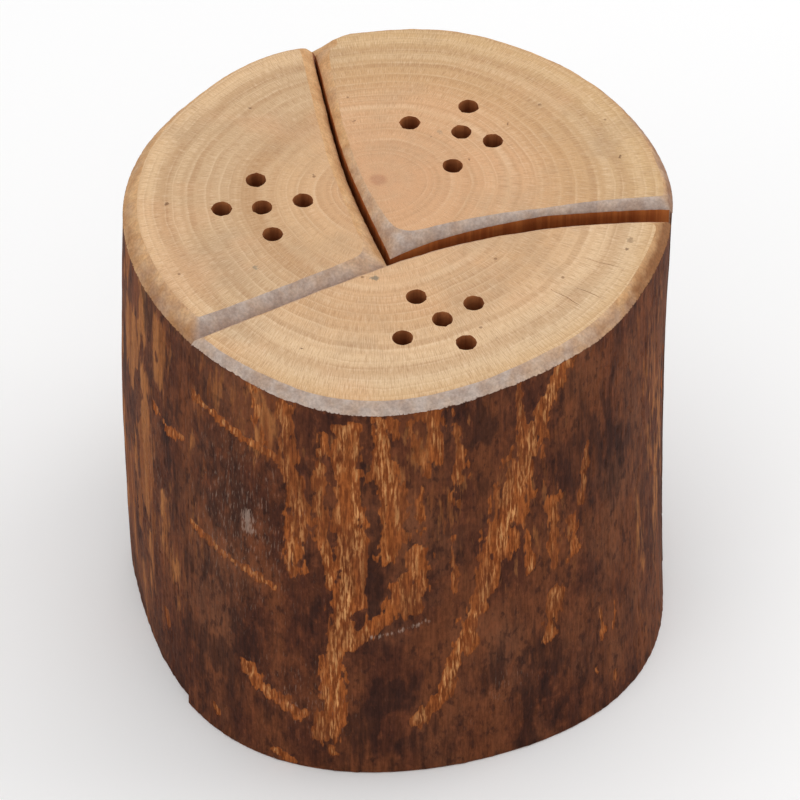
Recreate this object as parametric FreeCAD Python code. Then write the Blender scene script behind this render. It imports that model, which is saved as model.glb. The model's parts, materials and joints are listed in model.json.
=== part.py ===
"""Insect hotel: a short log sawn into three upright segments, bored from the top.

The log stands on its sawn base. Two upright band-saw cuts, both gently curved, part it
into a front, a left and a back segment. Every segment has five blind nest bores in its
end grain, chamfered top edges, and bark on its outer side. Millimetres, +Z up, front
towards -Y, origin on the base at the middle of the whole group.
"""
import FreeCAD, Part
import math
import os

# Log
log_height = 214.0
log_radius = 112.0
bark_thickness = 1.6

# How far the log is from round: one share of log_radius every 20 degrees, anticlockwise
# from -X. The butt flares, most of all at the front right.
top_shape = [0.990, 0.976, 0.973, 0.996, 1.034, 1.004, 0.964, 0.969, 0.978,
             1.016, 1.006, 0.993, 0.985, 0.983, 0.967, 0.998, 0.990, 1.000]
middle_shape = [1.041, 1.013, 1.020, 1.049, 1.058, 1.031, 1.013, 1.031, 1.029,
                1.022, 1.018, 1.004, 0.990, 0.980, 0.970, 1.000, 1.000, 1.022]
butt_shape = [1.040, 1.018, 1.056, 1.092, 1.076, 1.054, 1.069, 1.107, 1.102,
              1.058, 1.045, 1.036, 1.018, 1.000, 0.991, 1.013, 1.009, 1.031]
shape_start = 180.0

# Saw cuts: the middle of each kerf in plan, as shares of log_radius. The front cut runs
# from the left rim to the right rim, the side cut from the back rim into the front cut.
saw_kerf = 1.2
front_cut = [(-0.920, -0.777), (-0.449, -0.518), (-0.023, -0.280), (0.379, -0.120),
             (0.748, -0.055), (1.116, -0.027)]
side_cut = [(-0.366, 1.161), (-0.254, 0.554), (-0.173, 0.179), (-0.066, -0.143),
            (0.155, -0.800)]

# How the loose segments stand after sawing, from where they grew: the back one has slid
# back along the side cut, the front one stands a little forward and to the left
back_step = (-1.2, 4.9)
front_step = (-2.0, -1.0)

# Chamfers round the sawn tops, at 45 degrees
left_rim_chamfer = 6.5
left_cut_chamfer = 5.5
back_rim_chamfer = 4.0
back_cut_chamfer = 3.6
front_rim_chamfer = 4.0
front_cut_chamfer = 3.2

# Nest bores: where each pattern's middle bore is (share of log_radius, bearing), and the
# other four around it (distance, bearing)
bore_radius = 4.0
bore_depth = 120.0
drill_point_angle = 118.0
left_pattern = (0.490, 181.1)
left_ring = [(17.0, 14.0), (16.7, 100.0), (16.4, 183.0), (16.7, 286.0)]
back_pattern = (0.434, 55.4)
back_ring = [(14.1, 337.0), (16.2, 79.0), (22.0, 165.0), (21.2, 260.0)]
front_pattern = (0.610, 286.9)
front_ring = [(15.4, 36.0), (16.4, 129.0), (19.0, 214.0), (16.3, 305.0)]

# The log and the saw's path are drawn this much longer than the log, then cut to height
trim = 10.0


def polar(radius, bearing):
    """The plan point at a distance and bearing from the log's axis."""
    angle = math.radians(bearing)
    return FreeCAD.Vector(radius * math.cos(angle), radius * math.sin(angle), 0)


def raised(shape, z):
    """A copy of a shape lifted by z."""
    return shape.translated(FreeCAD.Vector(0, 0, z))


def outline(shares, inset):
    """One closed cross-section of the log, drawn in from its outside by inset."""
    turn = 360.0 / len(shares)
    points = [polar(share * log_radius - inset, shape_start + index * turn)
              for index, share in enumerate(shares)]
    curve = Part.BSplineCurve()
    curve.interpolate(Points=points, PeriodicFlag=True)
    return Part.Wire(curve.toShape())


def log_body(inset):
    """The whole log inside an even inset: three sections in one smooth skin."""
    sections = [raised(outline(butt_shape, inset), -trim),
                raised(outline(middle_shape, inset), log_height / 2),
                raised(outline(top_shape, inset), log_height + trim)]
    return Part.makeLoft(sections, True, False)


def sawn_log(rim_chamfer):
    """The log cut off square at the base and the top, its top rim chamfered."""
    side = 4 * log_radius
    slab = Part.makeBox(side, side, log_height, FreeCAD.Vector(-side / 2, -side / 2, 0))
    log = log_body(0).common(slab)
    rim = [edge for edge in log.Edges if edge.BoundBox.ZMin > log_height - 0.01]
    return log.makeChamfer(rim_chamfer, rim)


def kerf_wall(cut, offset):
    """The curve beside the middle of a cut, offset to the left of the saw's way."""
    middle = Part.BSplineCurve()
    middle.interpolate([FreeCAD.Vector(x, y, 0) * log_radius for x, y in cut])
    first = middle.FirstParameter
    step = (middle.LastParameter - first) / (len(cut) - 1)
    points = []
    for index in range(len(cut)):
        place = first + index * step
        way = FreeCAD.Vector(*middle.tangent(place)[0])
        left = FreeCAD.Vector(-way.y, way.x, 0)
        points.append(middle.value(place) + left * offset)
    wall = Part.BSplineCurve()
    wall.interpolate(points)
    return wall


def right_region(cut, offset, z):
    """A closed wire round all that is to the right of a kerf wall, at one height."""
    wall = kerf_wall(cut, offset)
    start = wall.StartPoint
    end = wall.EndPoint
    way = (end - start).normalize()
    right = FreeCAD.Vector(way.y, -way.x, 0) * 4 * log_radius
    far = Part.makePolygon([end, end + right, start + right, start])
    return raised(Part.Wire([wall.toShape()] + far.Edges), z)


def right_of_cut(cut, side, chamfer):
    """A solid of all that is to the right of a cut, up to one wall of its kerf.

    side 1 takes the left wall and leans out over the top, to be cut away from a piece
    on the left; side -1 takes the right wall and leans in, to be kept as a piece on the
    right. Either way the piece gets a chamfer along this cut.
    """
    wall = side * saw_kerf / 2
    turn = log_height - chamfer
    top = log_height + trim
    leaning = wall + side * (chamfer + trim)
    upright = Part.makeLoft([right_region(cut, wall, -trim), right_region(cut, wall, turn)],
                            True, True)
    sloped = Part.makeLoft([right_region(cut, wall, turn), right_region(cut, leaning, top)],
                           True, True)
    return upright.fuse(sloped)


def bore_centres(pattern, ring):
    """The middle bore of a segment and the ones around it."""
    middle = polar(pattern[0] * log_radius, pattern[1])
    return [middle] + [middle + polar(distance, bearing) for distance, bearing in ring]


def nest_bore(centre):
    """One blind bore with its conical drill point."""
    point_depth = bore_radius / math.tan(math.radians(drill_point_angle / 2))
    floor = centre + FreeCAD.Vector(0, 0, log_height - bore_depth)
    shaft = Part.makeCylinder(bore_radius, bore_depth + trim, floor)
    tip = Part.makeCone(0, bore_radius, point_depth, floor - FreeCAD.Vector(0, 0, point_depth))
    return shaft.fuse(tip)


def front_blank():
    """The front segment where it grew, chamfered but not yet bored."""
    return sawn_log(front_rim_chamfer).common(right_of_cut(front_cut, -1, front_cut_chamfer))


def back_blank():
    """The back segment: behind the front cut and to the left of the side cut's way."""
    behind = sawn_log(back_rim_chamfer).cut(right_of_cut(front_cut, 1, back_cut_chamfer))
    return behind.cut(right_of_cut(side_cut, 1, back_cut_chamfer))


def left_blank():
    """The left segment: behind the front cut and to the right of the side cut's way."""
    behind = sawn_log(left_rim_chamfer).cut(right_of_cut(front_cut, 1, left_cut_chamfer))
    return behind.common(right_of_cut(side_cut, -1, left_cut_chamfer))


# Each segment: its blank, its bores and its step from where it grew
segments = {
    "left": (left_blank, bore_centres(left_pattern, left_ring), (0.0, 0.0)),
    "back": (back_blank, bore_centres(back_pattern, back_ring), back_step),
    "front": (front_blank, bore_centres(front_pattern, front_ring), front_step),
}


def make_parts():
    """Wood and bark of every segment, standing on the base as they rest."""
    core = log_body(bark_thickness)
    parts = {}
    for name, (make_blank, bores, step) in segments.items():
        blank = make_blank()
        wood = blank.common(core)
        for centre in bores:
            wood = wood.cut(nest_bore(centre))
        rest = FreeCAD.Vector(step[0], step[1], 0)
        parts[name + "_wood"] = wood.translated(rest)
        parts[name + "_bark"] = blank.cut(core).translated(rest)
    return parts


def group_centre(parts):
    """The plan middle of the box round all the pieces."""
    box = Part.makeCompound(list(parts.values())).optimalBoundingBox(False)
    return FreeCAD.Vector(box.Center.x, box.Center.y, 0)


def main():
    os.makedirs("parts", exist_ok=True)
    parts = make_parts()
    centre = group_centre(parts)
    for name, shape in parts.items():
        placed = shape.translated(centre * -1)
        placed.exportStep(os.path.join("parts", name + ".step"))
        print(name, len(placed.Solids), placed.isValid(), round(placed.Volume))
    print("group centre", centre)


main()
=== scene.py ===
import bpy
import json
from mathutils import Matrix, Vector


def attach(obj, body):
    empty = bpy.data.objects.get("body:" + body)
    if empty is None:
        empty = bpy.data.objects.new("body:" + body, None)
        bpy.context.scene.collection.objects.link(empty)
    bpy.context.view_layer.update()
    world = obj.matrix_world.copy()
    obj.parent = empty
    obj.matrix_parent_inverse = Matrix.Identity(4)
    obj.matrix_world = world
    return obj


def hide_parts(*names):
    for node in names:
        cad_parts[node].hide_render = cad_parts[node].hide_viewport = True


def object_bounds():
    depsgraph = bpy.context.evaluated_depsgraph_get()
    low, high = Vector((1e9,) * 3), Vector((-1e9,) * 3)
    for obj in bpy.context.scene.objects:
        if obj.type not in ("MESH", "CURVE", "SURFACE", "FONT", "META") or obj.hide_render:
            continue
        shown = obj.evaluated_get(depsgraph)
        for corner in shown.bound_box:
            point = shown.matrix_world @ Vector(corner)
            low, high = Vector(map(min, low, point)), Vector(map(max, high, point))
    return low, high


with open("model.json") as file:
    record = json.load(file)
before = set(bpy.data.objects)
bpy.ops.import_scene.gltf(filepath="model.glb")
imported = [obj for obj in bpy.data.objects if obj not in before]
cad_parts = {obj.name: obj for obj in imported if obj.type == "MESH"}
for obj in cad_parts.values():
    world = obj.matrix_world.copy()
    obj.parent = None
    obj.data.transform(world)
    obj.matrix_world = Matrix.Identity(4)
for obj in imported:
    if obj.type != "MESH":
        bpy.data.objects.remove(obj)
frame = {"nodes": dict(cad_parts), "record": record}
"""Insect hotel: the looks of a short log sawn into three bored, bevelled segments.

Every segment is two closed pieces: a wood block (base, sawn sides, bevelled edges, end
grain with its bores) and a bark shell on its outer side. Their outlines are read from
the CAD nodes that they stand for. Lengths in the shapes are in mm, +Z up, front at -Y.
"""
import json
import math

import bpy
import numpy as np
from mathutils import Vector
from mathutils.geometry import delaunay_2d_cdt

cad_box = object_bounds()
MM = 0.001
LOG_TOP = cad_box[1][2] / MM

# --- The log, its cuts and its bores

SEGMENTS = ("left", "back", "front")
# Where the log's axis is for each segment as it stands, and where the pith is from it
LOG_AXIS = {"left": (0.4, 2.2), "back": (-0.8, 7.1), "front": (-1.6, 1.2)}
PITH_FROM_AXIS = (-6.7, 11.1)

# Every segment's walls are listed in one order: the rim, then anticlockwise seen from
# above. Bevels: (share of the wall, width), on the rim from the outside of the bark
BEVELS = {
    "left": [
        [(0.0, 4.6), (0.35, 5.0), (0.75, 6.4), (1.0, 6.8)],
        [(0.0, 7.2), (0.35, 6.2), (0.7, 5.8), (1.0, 7.4)],
        [(0.0, 8.2), (0.3, 6.4), (0.6, 5.6), (1.0, 5.8)],
    ],
    "back": [
        [(0.0, 4.2), (0.3, 3.6), (0.7, 3.6), (0.93, 4.4), (0.965, 7.6), (1.0, 11.5)],
        [(0.0, 10.0), (0.05, 6.8), (0.12, 4.8), (0.4, 3.2), (0.75, 3.4), (1.0, 6.4)],
        [(0.0, 6.4), (0.16, 4.4), (0.35, 3.6), (0.55, 2.4), (0.75, 3.4), (1.0, 4.2)],
    ],
    "front": [
        [(0.0, 3.4), (0.3, 4.2), (0.55, 4.4), (0.8, 5.0), (1.0, 5.4)],
        [(0.0, 4.4), (0.2, 3.4), (0.7, 3.0), (1.0, 2.8)],
    ],
}
# How grey and how brown each bevel is at its start, middle and end: 0 is fresh wood and
# 1 the full colour, and a number outside that keeps the mottling off or makes it solid
GREYING = {
    "left": [(0.0, 0.0, 0.1), (0.95, 0.9, 0.5), (0.15, -0.2, -0.2)],
    "back": [(0.3, 0.0, 0.0), (0.0, 0.05, 0.7), (0.9, 0.95, 1.0)],
    "front": [(0.9, 1.0, -0.5), (0.3, 0.3, 0.3)],
}
BROWNING = {
    "left": [(0.1, 0.2, 0.75), (0.1, 0.2, 0.3), (0.15, -0.2, -0.1)],
    "back": [(1.0, 0.3, 0.1), (0.1, 0.1, 0.2), (0.2, 0.0, 0.0)],
    "front": [(0.05, -0.2, 1.3), (0.4, 0.4, 0.4)],
}
# Steps of the meshes: column width, rows up a wall and up a bevel, and end grain spacing
COLUMN = 0.85
WALL_ROWS = 64
BEVEL_ROWS = 6
GRAIN_STEP = 1.7
BASE_ARRIS = 0.6
BORE_SIDES = 40
BORE_ROWS = 44
DRILL_HALF_POINT = math.radians(59)
# How round the top face is at the corner each wall starts from, in columns
ROUNDING = {"left": (2.0, 1.6, 7.0), "back": (1.2, 2.6, 7.5), "front": (1.0, 4.5)}

# Drying cracks in the front segment's end grain, as chains of (x, y) in mm
CRACKS = {
    "front": [
        [(72.7, -28.4), (77.0, -29.4), (81.4, -31.6), (87.5, -33.4), (93.3, -36.2)],
        [(70.3, -45.7), (77.1, -49.0), (83.6, -53.7)],
        [(60.6, -46.7), (67.9, -51.6), (74.7, -58.5)],
    ],
}
# Marks in the end grain: (x, y), radius in mm and how dark, from 0 to 1
DARK_MARKS = {
    "left": [(-93.3, 3.0, 0.9, 0.6), (-60.5, 62.0, 0.7, 0.5), (-24.0, 58.0, 0.8, 0.6),
             (-34.0, 20.5, 0.7, 0.5)],
    "back": [(92.0, 31.7, 1.0, 0.7), (-17.6, 53.8, 0.9, 0.5), (46.0, 52.0, 0.8, 0.6),
             (14.5, 44.5, 0.8, 0.6), (60.0, 64.0, 0.8, 0.5), (30.0, 30.0, 0.7, 0.5)],
    "front": [(94.5, -18.4, 1.9, 0.4), (93.1, -23.7, 0.8, 0.6), (-38.1, -81.0, 0.8, 0.9)],
}
MOULD_MARKS = {
    "left": [(-56.6, -34.8, 1.5, 0.5)],
    "back": [(18.0, 47.0, 1.5, 0.3)],
    "front": [(-8.5, -40.6, 2.1, 0.7)],
}

# How the CAD outlines are read: the levels, the level that shows the bores, how far from
# its axis a bore's wall can be, above what height its floor is, and what makes a corner
LEVELS = (0.5, 0.48 * LOG_TOP, LOG_TOP - 7.6)
BORE_LEVEL = 150.0
BORE_CLEAR = 6.5
ABOVE_BASE = 20.0
CORNER_TURN = math.radians(35)
CORNER_GAP = 5.0
SHARP_EDGE = math.radians(38)


def lengths(vectors):
    return np.linalg.norm(vectors, axis=-1)


def shares(count):
    """That many numbers evenly spread from 0 to 1."""
    return np.linspace(0.0, 1.0, count)


def fade(t):
    """Smooth step: three t squared less two t cubed, t held from 0 to 1."""
    t = np.clip(t, 0.0, 1.0)
    return t * t * (3.0 - 2.0 * t)


def noise(u, v, seed):
    """Value noise from 0 to 1: a seeded random table, blended between its four nearest
    entries by the smooth step."""
    table = np.random.default_rng(seed).random((256, 256))
    u, v = np.broadcast_arrays(np.asarray(u, float), np.asarray(v, float))
    column, row = np.floor(u).astype(int), np.floor(v).astype(int)
    across, up = fade(u - column), fade(v - row)
    rows = []
    for k in (0, 1):
        near, far = (table[(column + j) % 256, (row + k) % 256] for j in (0, 1))
        rows.append(near * (1 - across) + far * across)
    return rows[0] * (1 - up) + rows[1] * up


def layered(u, v, seed, layers=4):
    """Noise at several scales: each layer is twice as fine and half as strong."""
    total = sum(noise(u * 2**k, v * 2**k, seed + k) / 2**k for k in range(layers))
    return total / (2.0 - 2.0 ** (1 - layers))


def contrast(values, gain):
    """Values pushed away from a half by the gain, held from 0 to 1."""
    return np.clip(0.5 + gain * (values - 0.5), 0, 1)


def raised(flat, height):
    """Points in space from (x, y) places and their heights."""
    height = np.broadcast_to(height, flat.shape[:-1])
    return np.concatenate([flat, height[..., None]], axis=-1)


# --- Reading the CAD nodes

def node_mesh(name):
    """The node's vertices in mm and its triangles."""
    mesh = frame["nodes"][name].data
    places = np.empty(len(mesh.vertices) * 3)
    mesh.vertices.foreach_get("co", places)
    mesh.calc_loop_triangles()
    triangles = np.empty(len(mesh.loop_triangles) * 3, int)
    mesh.loop_triangles.foreach_get("vertices", triangles)
    return places.reshape(-1, 3) / MM, triangles.reshape(-1, 3)


def cut_at(name, height):
    """The (x, y) points where the edges of the node's triangles cross a level."""
    places, triangles = node_mesh(name)
    edges = np.concatenate([triangles[:, [0, 1]], triangles[:, [1, 2]], triangles[:, [2, 0]]])
    low, high = places[edges[:, 0]], places[edges[:, 1]]
    across = (low[:, 2] - height) * (high[:, 2] - height) < 0
    low, high = low[across], high[across]
    share = (height - low[:, 2]) / (high[:, 2] - low[:, 2])
    return (low + share[:, None] * (high - low))[:, :2]


def resample(chain, count):
    """The chain again as count points evenly spread along its length."""
    along = np.concatenate([[0.0], np.cumsum(lengths(np.diff(chain, axis=0)))])
    wanted = np.linspace(0.0, along[-1], count)
    return np.stack([np.interp(wanted, along, chain[:, k]) for k in (0, 1)], axis=1)


def chain_length(chain):
    return lengths(np.diff(chain, axis=0)).sum()


def walls_at(segment, height, bores):
    """The block's outline at a level, split at its corners into wall chains that run
    anticlockwise and start with the rim."""
    points = cut_at(segment + "_wood", height)
    for centre in bores:
        points = points[lengths(points - centre) > BORE_CLEAR]
    middle = 0.5 * (points.min(0) + points.max(0))
    bearing = np.arctan2(points[:, 1] - middle[1], points[:, 0] - middle[0])
    points = points[np.argsort(bearing)]
    points = points[lengths(points - np.roll(points, 1, axis=0)) > 0.3]
    into = points - np.roll(points, 1, axis=0)
    out = np.roll(points, -1, axis=0) - points
    turn = np.arctan2(into[:, 0] * out[:, 1] - into[:, 1] * out[:, 0], (into * out).sum(1))
    corners = np.flatnonzero(turn > CORNER_TURN)
    corners = corners[lengths(points[corners] - points[np.roll(corners, -1)]) > CORNER_GAP]
    chains = []
    for first, last in zip(corners, np.roll(corners, -1)):
        last += len(points) if last <= first else 0
        chains.append(points[np.arange(first, last + 1) % len(points)])
    reach = [lengths(resample(c, 9) - LOG_AXIS[segment]).mean() for c in chains]
    rim = int(np.argmax(reach))
    return chains[rim:] + chains[:rim]


def at_height(levels, height):
    """Each column's place at its height: the parabola through its places at LEVELS.
    levels is (3, columns, 2); height is (rows, columns) or (columns,)."""
    weights = []
    for k in range(3):
        others = [LEVELS[j] for j in range(3) if j != k]
        weight = (height - others[0]) * (height - others[1])
        weights.append(weight / ((LEVELS[k] - others[0]) * (LEVELS[k] - others[1])))
    return sum(w[..., None] * levels[k] for k, w in enumerate(weights))


def read_bores(segment):
    """Centres, radius and floor height of the segment's bores, from the record's openings
    and the CAD node's own walls."""
    boxes = [
        opening["box_m"]
        for opening in frame["record"]["physics"]["openings"]
        if opening["name"].startswith(segment + "_")
    ]
    centres = np.array(boxes).mean(1)[:, :2] / MM
    away = lengths(cut_at(segment + "_wood", BORE_LEVEL)[:, None] - centres).min(1)
    radius = away[away < BORE_CLEAR].max()
    places, _ = node_mesh(segment + "_wood")
    near = lengths(places[:, None, :2] - centres).min(1) < radius + 0.2
    return centres, radius, places[near & (places[:, 2] > ABOVE_BASE), 2].min()


def smooth_round(values, columns):
    """A closed run of values averaged with a bell-shaped weight that many columns wide."""
    reach = int(3 * columns) + 1
    weight = np.exp(-0.5 * (np.arange(-reach, reach + 1) / columns) ** 2)
    weight /= weight.sum()
    return sum(w * np.roll(values, k, axis=0) for w, k in zip(weight, range(-reach, reach + 1)))


def inward(chain):
    """Unit normals to the left of the chain's run: into the segment."""
    run = np.gradient(chain, axis=0)
    run /= lengths(run)[:, None]
    return np.stack([-run[:, 1], run[:, 0]], axis=1)


def from_pith(segment, places):
    """Distance and bearing of (x, y) places from the log's pith."""
    x, y = (places - LOG_AXIS[segment] - np.array(PITH_FROM_AXIS)).T
    return np.hypot(x, y), np.arctan2(y, x)


def rim_reach():
    """How far the rim is from the pith at each of 720 bearings, from the three blocks'
    rims put back where they stood in the log."""
    rims = [from_pith(name, PARTS[name]["walls"][0][2]) for name in SEGMENTS]
    away, bearing = np.concatenate(rims, axis=1)
    order = np.argsort(bearing)
    grid = np.linspace(-math.pi, math.pi, 720, endpoint=False)
    reach = np.interp(grid, bearing[order], away[order], period=2 * math.pi)
    return grid, smooth_round(reach, 8)


def ring_share(segment, places):
    """0 at the pith, 1 at the rim: the distance from the pith over the rim's distance
    on the same bearing."""
    away, bearing = from_pith(segment, places)
    return away / np.interp(bearing, *RIM, period=2 * math.pi)


def read_segment(segment):
    """Bores, wall chains at LEVELS on shared columns, and the bark's outer chain on the
    rim's columns. The outer chain is the cut points that lie a full bark thickness
    outside the rim's own chain, run on straight at both ends."""
    centres, radius, tip = read_bores(segment)
    walls, outer = [], []
    for chains in zip(*(walls_at(segment, height, centres) for height in LEVELS)):
        count = int(chain_length(chains[1]) / COLUMN)
        walls.append(np.stack([resample(chain, count + 1) for chain in chains]))
    for rim, height in zip(walls[0], LEVELS):
        long_rim = np.concatenate([[2 * rim[2] - rim[12]], rim[2:-2], [2 * rim[-3] - rim[-13]]])
        points = cut_at(segment + "_bark", height)
        away = lengths(points[:, None] - resample(long_rim, 3000))
        full = away.min(1) > np.percentile(away.min(1), 80) - 0.2
        chain = points[full][np.argsort(away.argmin(1)[full])]
        chain = chain[np.append(True, lengths(np.diff(chain, axis=0)) > 0.2)]
        outer.append(resample(chain, len(rim)))
    return {
        "centres": centres, "radius": radius, "tip": tip,
        "walls": walls, "outer": np.stack(outer),
    }


PARTS = {name: read_segment(name) for name in SEGMENTS}
RIM = rim_reach()


# --- Putting meshes in

def new_object(name, data):
    obj = bpy.data.objects.new(name, data)
    bpy.context.scene.collection.objects.link(obj)
    return obj


def new_piece(name, vertices, faces, slots, materials, values):
    """A mesh object in metres from vertices in mm; slots is each face's material number
    and values holds a number per vertex for each attribute name."""
    mesh = bpy.data.meshes.new(name)
    mesh.from_pydata((vertices * MM).tolist(), [], faces)
    for key, numbers in values.items():
        layer = mesh.attributes.new(key, "FLOAT", "POINT")
        layer.data.foreach_set("value", np.asarray(numbers, np.float32).ravel())
    for material in materials:
        mesh.materials.append(material)
    mesh.polygons.foreach_set("material_index", np.asarray(slots, np.int32))
    mesh.polygons.foreach_set("use_smooth", np.full(len(faces), True))
    mesh.update()
    mesh.validate()
    mesh.set_sharp_from_angle(angle=SHARP_EDGE)
    return new_object(name, mesh)


def band_faces(low, high):
    """Quads between closed loops of vertex numbers, facing outwards when the loops run
    anticlockwise and high is above low."""
    corners = [low, np.roll(low, -1, -1), np.roll(high, -1, -1), high]
    return np.stack(corners, axis=-1).reshape(-1, 4)


def strip_faces(grid):
    """Quads of an open grid of vertex numbers (rows upwards, columns anticlockwise)."""
    corners = [grid[:-1, :-1], grid[:-1, 1:], grid[1:, 1:], grid[1:, :-1]]
    return np.stack(corners, axis=-1).reshape(-1, 4)


# --- Wood blocks

END, BEVEL, SAWN, BORE = range(4)
BORE_ANGLES = np.linspace(0.0, 2 * math.pi, BORE_SIDES, endpoint=False)
BORE_CIRCLE = np.stack([np.cos(BORE_ANGLES), np.sin(BORE_ANGLES)], axis=1)


def bevel_widths(segment, seed):
    """Each wall's bevel width by column: the listed profile, with a slow wander and a
    finer chatter where the saw tore the edge."""
    widths = []
    for k, profile in enumerate(BEVELS[segment]):
        chain = PARTS[segment]["walls"][k][2]
        share = shares(len(chain))
        along = share * chain_length(chain)
        width = np.interp(share, *zip(*profile))
        width += 0.8 * (layered(along / 19.0, 0.5, seed + k) - 0.5)
        width += 0.16 * (noise(along / 2.2, 0.5, seed + 20 + k) - 0.5)
        widths.append(width)
    return widths


def bevel_depths(chains, own):
    """How far each wall's upper edge is below the top: its own bevel's width, or near a
    corner what the next wall's bevel takes from it if that is more: that bevel's width
    less the distance to the corner times the sine of the corner's turn."""
    turns = []
    for k, chain in enumerate(chains):
        before, after = chains[k - 1][-1] - chains[k - 1][-4], chain[3] - chain[0]
        cross = before[0] * after[1] - before[1] * after[0]
        turns.append(abs(cross) / (lengths(before) * lengths(after)))
    depths = []
    for k, chain in enumerate(chains):
        along = np.linspace(0.0, chain_length(chain), len(chain))
        after = (k + 1) % len(chains)
        from_before = own[k - 1][-1] - along * turns[k]
        from_after = own[after][0] - along[::-1] * turns[after]
        depths.append(np.maximum(own[k], np.maximum(from_before, from_after)))
    return depths


def inner_edge(chains, own, rounding):
    """The top face's edge: each wall moved in by its bevel's width and cut off where it
    meets its neighbours, then rounded, most of all at the corners."""
    normals = [inward(chain) for chain in chains]
    moved = [c + n * w[:, None] for c, n, w in zip(chains, normals, own)]
    mitres = []
    for k, chain in enumerate(chains):
        sides = np.stack([normals[k - 1][-1], normals[k][0]])
        mitres.append(chain[0] + np.linalg.solve(sides, [own[k - 1][-1], own[k][0]]))
    loops, starts = [], []
    for k, line in enumerate(moved):
        start, end = mitres[k], mitres[(k + 1) % len(moved)]
        first, final = lengths(line - start).argmin() + 1, lengths(line - end).argmin()
        whole = np.concatenate([[start], line[first:final], [end]])
        starts.append(sum(map(len, loops)))
        loops.append(resample(whole, len(line))[:-1])
    loop = np.concatenate(loops)
    result = smooth_round(loop, 1.0)
    number = np.arange(len(loop))
    for start, columns in zip(starts, rounding):
        near = np.minimum((number - start) % len(loop), (start - number) % len(loop))
        weight = np.exp(-((near / (1.7 * columns)) ** 2))[:, None]
        result = result * (1 - weight) + smooth_round(loop, columns) * weight
    return result


def inside(points, loop):
    """Which points a closed loop holds: a ray towards +X crosses it an odd number of times."""
    a, b = loop[None], np.roll(loop, -1, axis=0)[None]
    x, y = points[:, 0, None], points[:, 1, None]
    spans = (a[..., 1] > y) != (b[..., 1] > y)
    rise = np.where(spans, b[..., 1] - a[..., 1], 1.0)
    at = a[..., 0] + (y - a[..., 1]) * (b[..., 0] - a[..., 0]) / rise
    return (spans & (x < at)).sum(1) % 2 == 1


def torn_radius(radius, seed):
    """A bore's radius at its mouth: a little wide and lifted unevenly where fibres tore."""
    torn = 0.5 * fade(noise(BORE_ANGLES * 3.2, 0.5, seed) * 1.6 - 0.7)
    return radius + 0.08 + torn + 0.12 * noise(BORE_ANGLES * 9.0, 3.5, seed)


def outside_mouth(points, centre, radius):
    """Which points lie beyond the straight sides between a mouth's corners: at a bearing
    b between corners at b0 and b1 with radii r0 and r1, the side is r0 r1 sin(b1 - b0)
    over (r0 sin(b - b0) + r1 sin(b1 - b)) away."""
    x, y = (points - centre).T
    bearing = np.arctan2(y, x) % (2 * math.pi)
    step = 2 * math.pi / BORE_SIDES
    k = np.minimum((bearing / step).astype(int), BORE_SIDES - 1)
    here, there = radius[k], radius[(k + 1) % BORE_SIDES]
    lean = here * np.sin(bearing - k * step) + there * np.sin((k + 1) * step - bearing)
    return np.hypot(x, y) > here * there * math.sin(step) / lean


def end_grain(segment, edge, seed):
    """The top face: triangles between the edge loop, the bore mouths, the cracks and a
    jittered field of points. Returns all points, the triangles, the mouths' radii and
    the numbers of the points that sink into the cracks."""
    part = PARTS[segment]
    rng = np.random.default_rng(seed)
    radii = [torn_radius(part["radius"], seed + 30 + k) for k in range(len(part["centres"]))]
    groups, links, sunk = [], [], []

    def join(points, closed=False):
        """Takes in points whose links stay edges, and gives their numbers."""
        numbers = np.arange(len(points)) + sum(map(len, groups))
        pairs = np.stack([numbers, np.roll(numbers, -1)], axis=1)
        groups.append(points)
        links.append(pairs if closed else pairs[:-1])
        return numbers

    join(edge, True)
    for centre, radius in zip(part["centres"], radii):
        join(centre + BORE_CIRCLE * radius[:, None], True)
    for k, chain in enumerate(CRACKS.get(segment, [])):
        line = resample(np.array(chain), 12)
        side = inward(line)
        line = line + side * (0.35 * (noise(np.arange(12) * 0.9, k, seed) - 0.5))[:, None]
        gape = side[1:-1] * (0.17 * np.sin(np.linspace(0.0, math.pi, 12)[1:-1]))[:, None]
        sunk.extend(join(line)[1:-1])
        join(line[1:-1] + gape)
        join(line[1:-1] - gape)

    low, high = edge.min(0), edge.max(0)
    steps = (GRAIN_STEP, GRAIN_STEP * 0.87)
    x, y = np.meshgrid(*(np.arange(low[k], high[k], steps[k]) for k in (0, 1)))
    x[1::2] += 0.5 * GRAIN_STEP
    field = np.stack([x.ravel(), y.ravel()], axis=1)
    field += rng.uniform(-0.25, 0.25, field.shape) * GRAIN_STEP
    fixed = np.concatenate(groups)
    blocks = np.array_split(field, 16)
    clear = np.concatenate([lengths(block[:, None] - fixed).min(1) for block in blocks])
    field = field[clear > 0.55 * GRAIN_STEP]
    field = field[inside(field, edge)]
    for centre in part["centres"]:
        field = field[lengths(field - centre) > part["radius"] + 0.5]
    places = list(map(Vector, np.concatenate([fixed, field]).tolist()))
    found = delaunay_2d_cdt(places, np.concatenate(links).tolist(), [], 1, 1e-5, False)
    points, triangles = np.array(found[0]), np.array(found[2])
    triangles = triangles[inside(points[triangles].mean(1), edge)]
    for centre, radius in zip(part["centres"], radii):
        triangles = triangles[outside_mouth(points[triangles].mean(1), centre, radius)]
    a, b, c = (points[triangles[:, k]].T for k in range(3))
    down = (b[0] - a[0]) * (c[1] - a[1]) - (b[1] - a[1]) * (c[0] - a[0]) < 0
    triangles[down] = triangles[down][:, ::-1]
    return points, triangles, radii, np.array(sunk, int)


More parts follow.
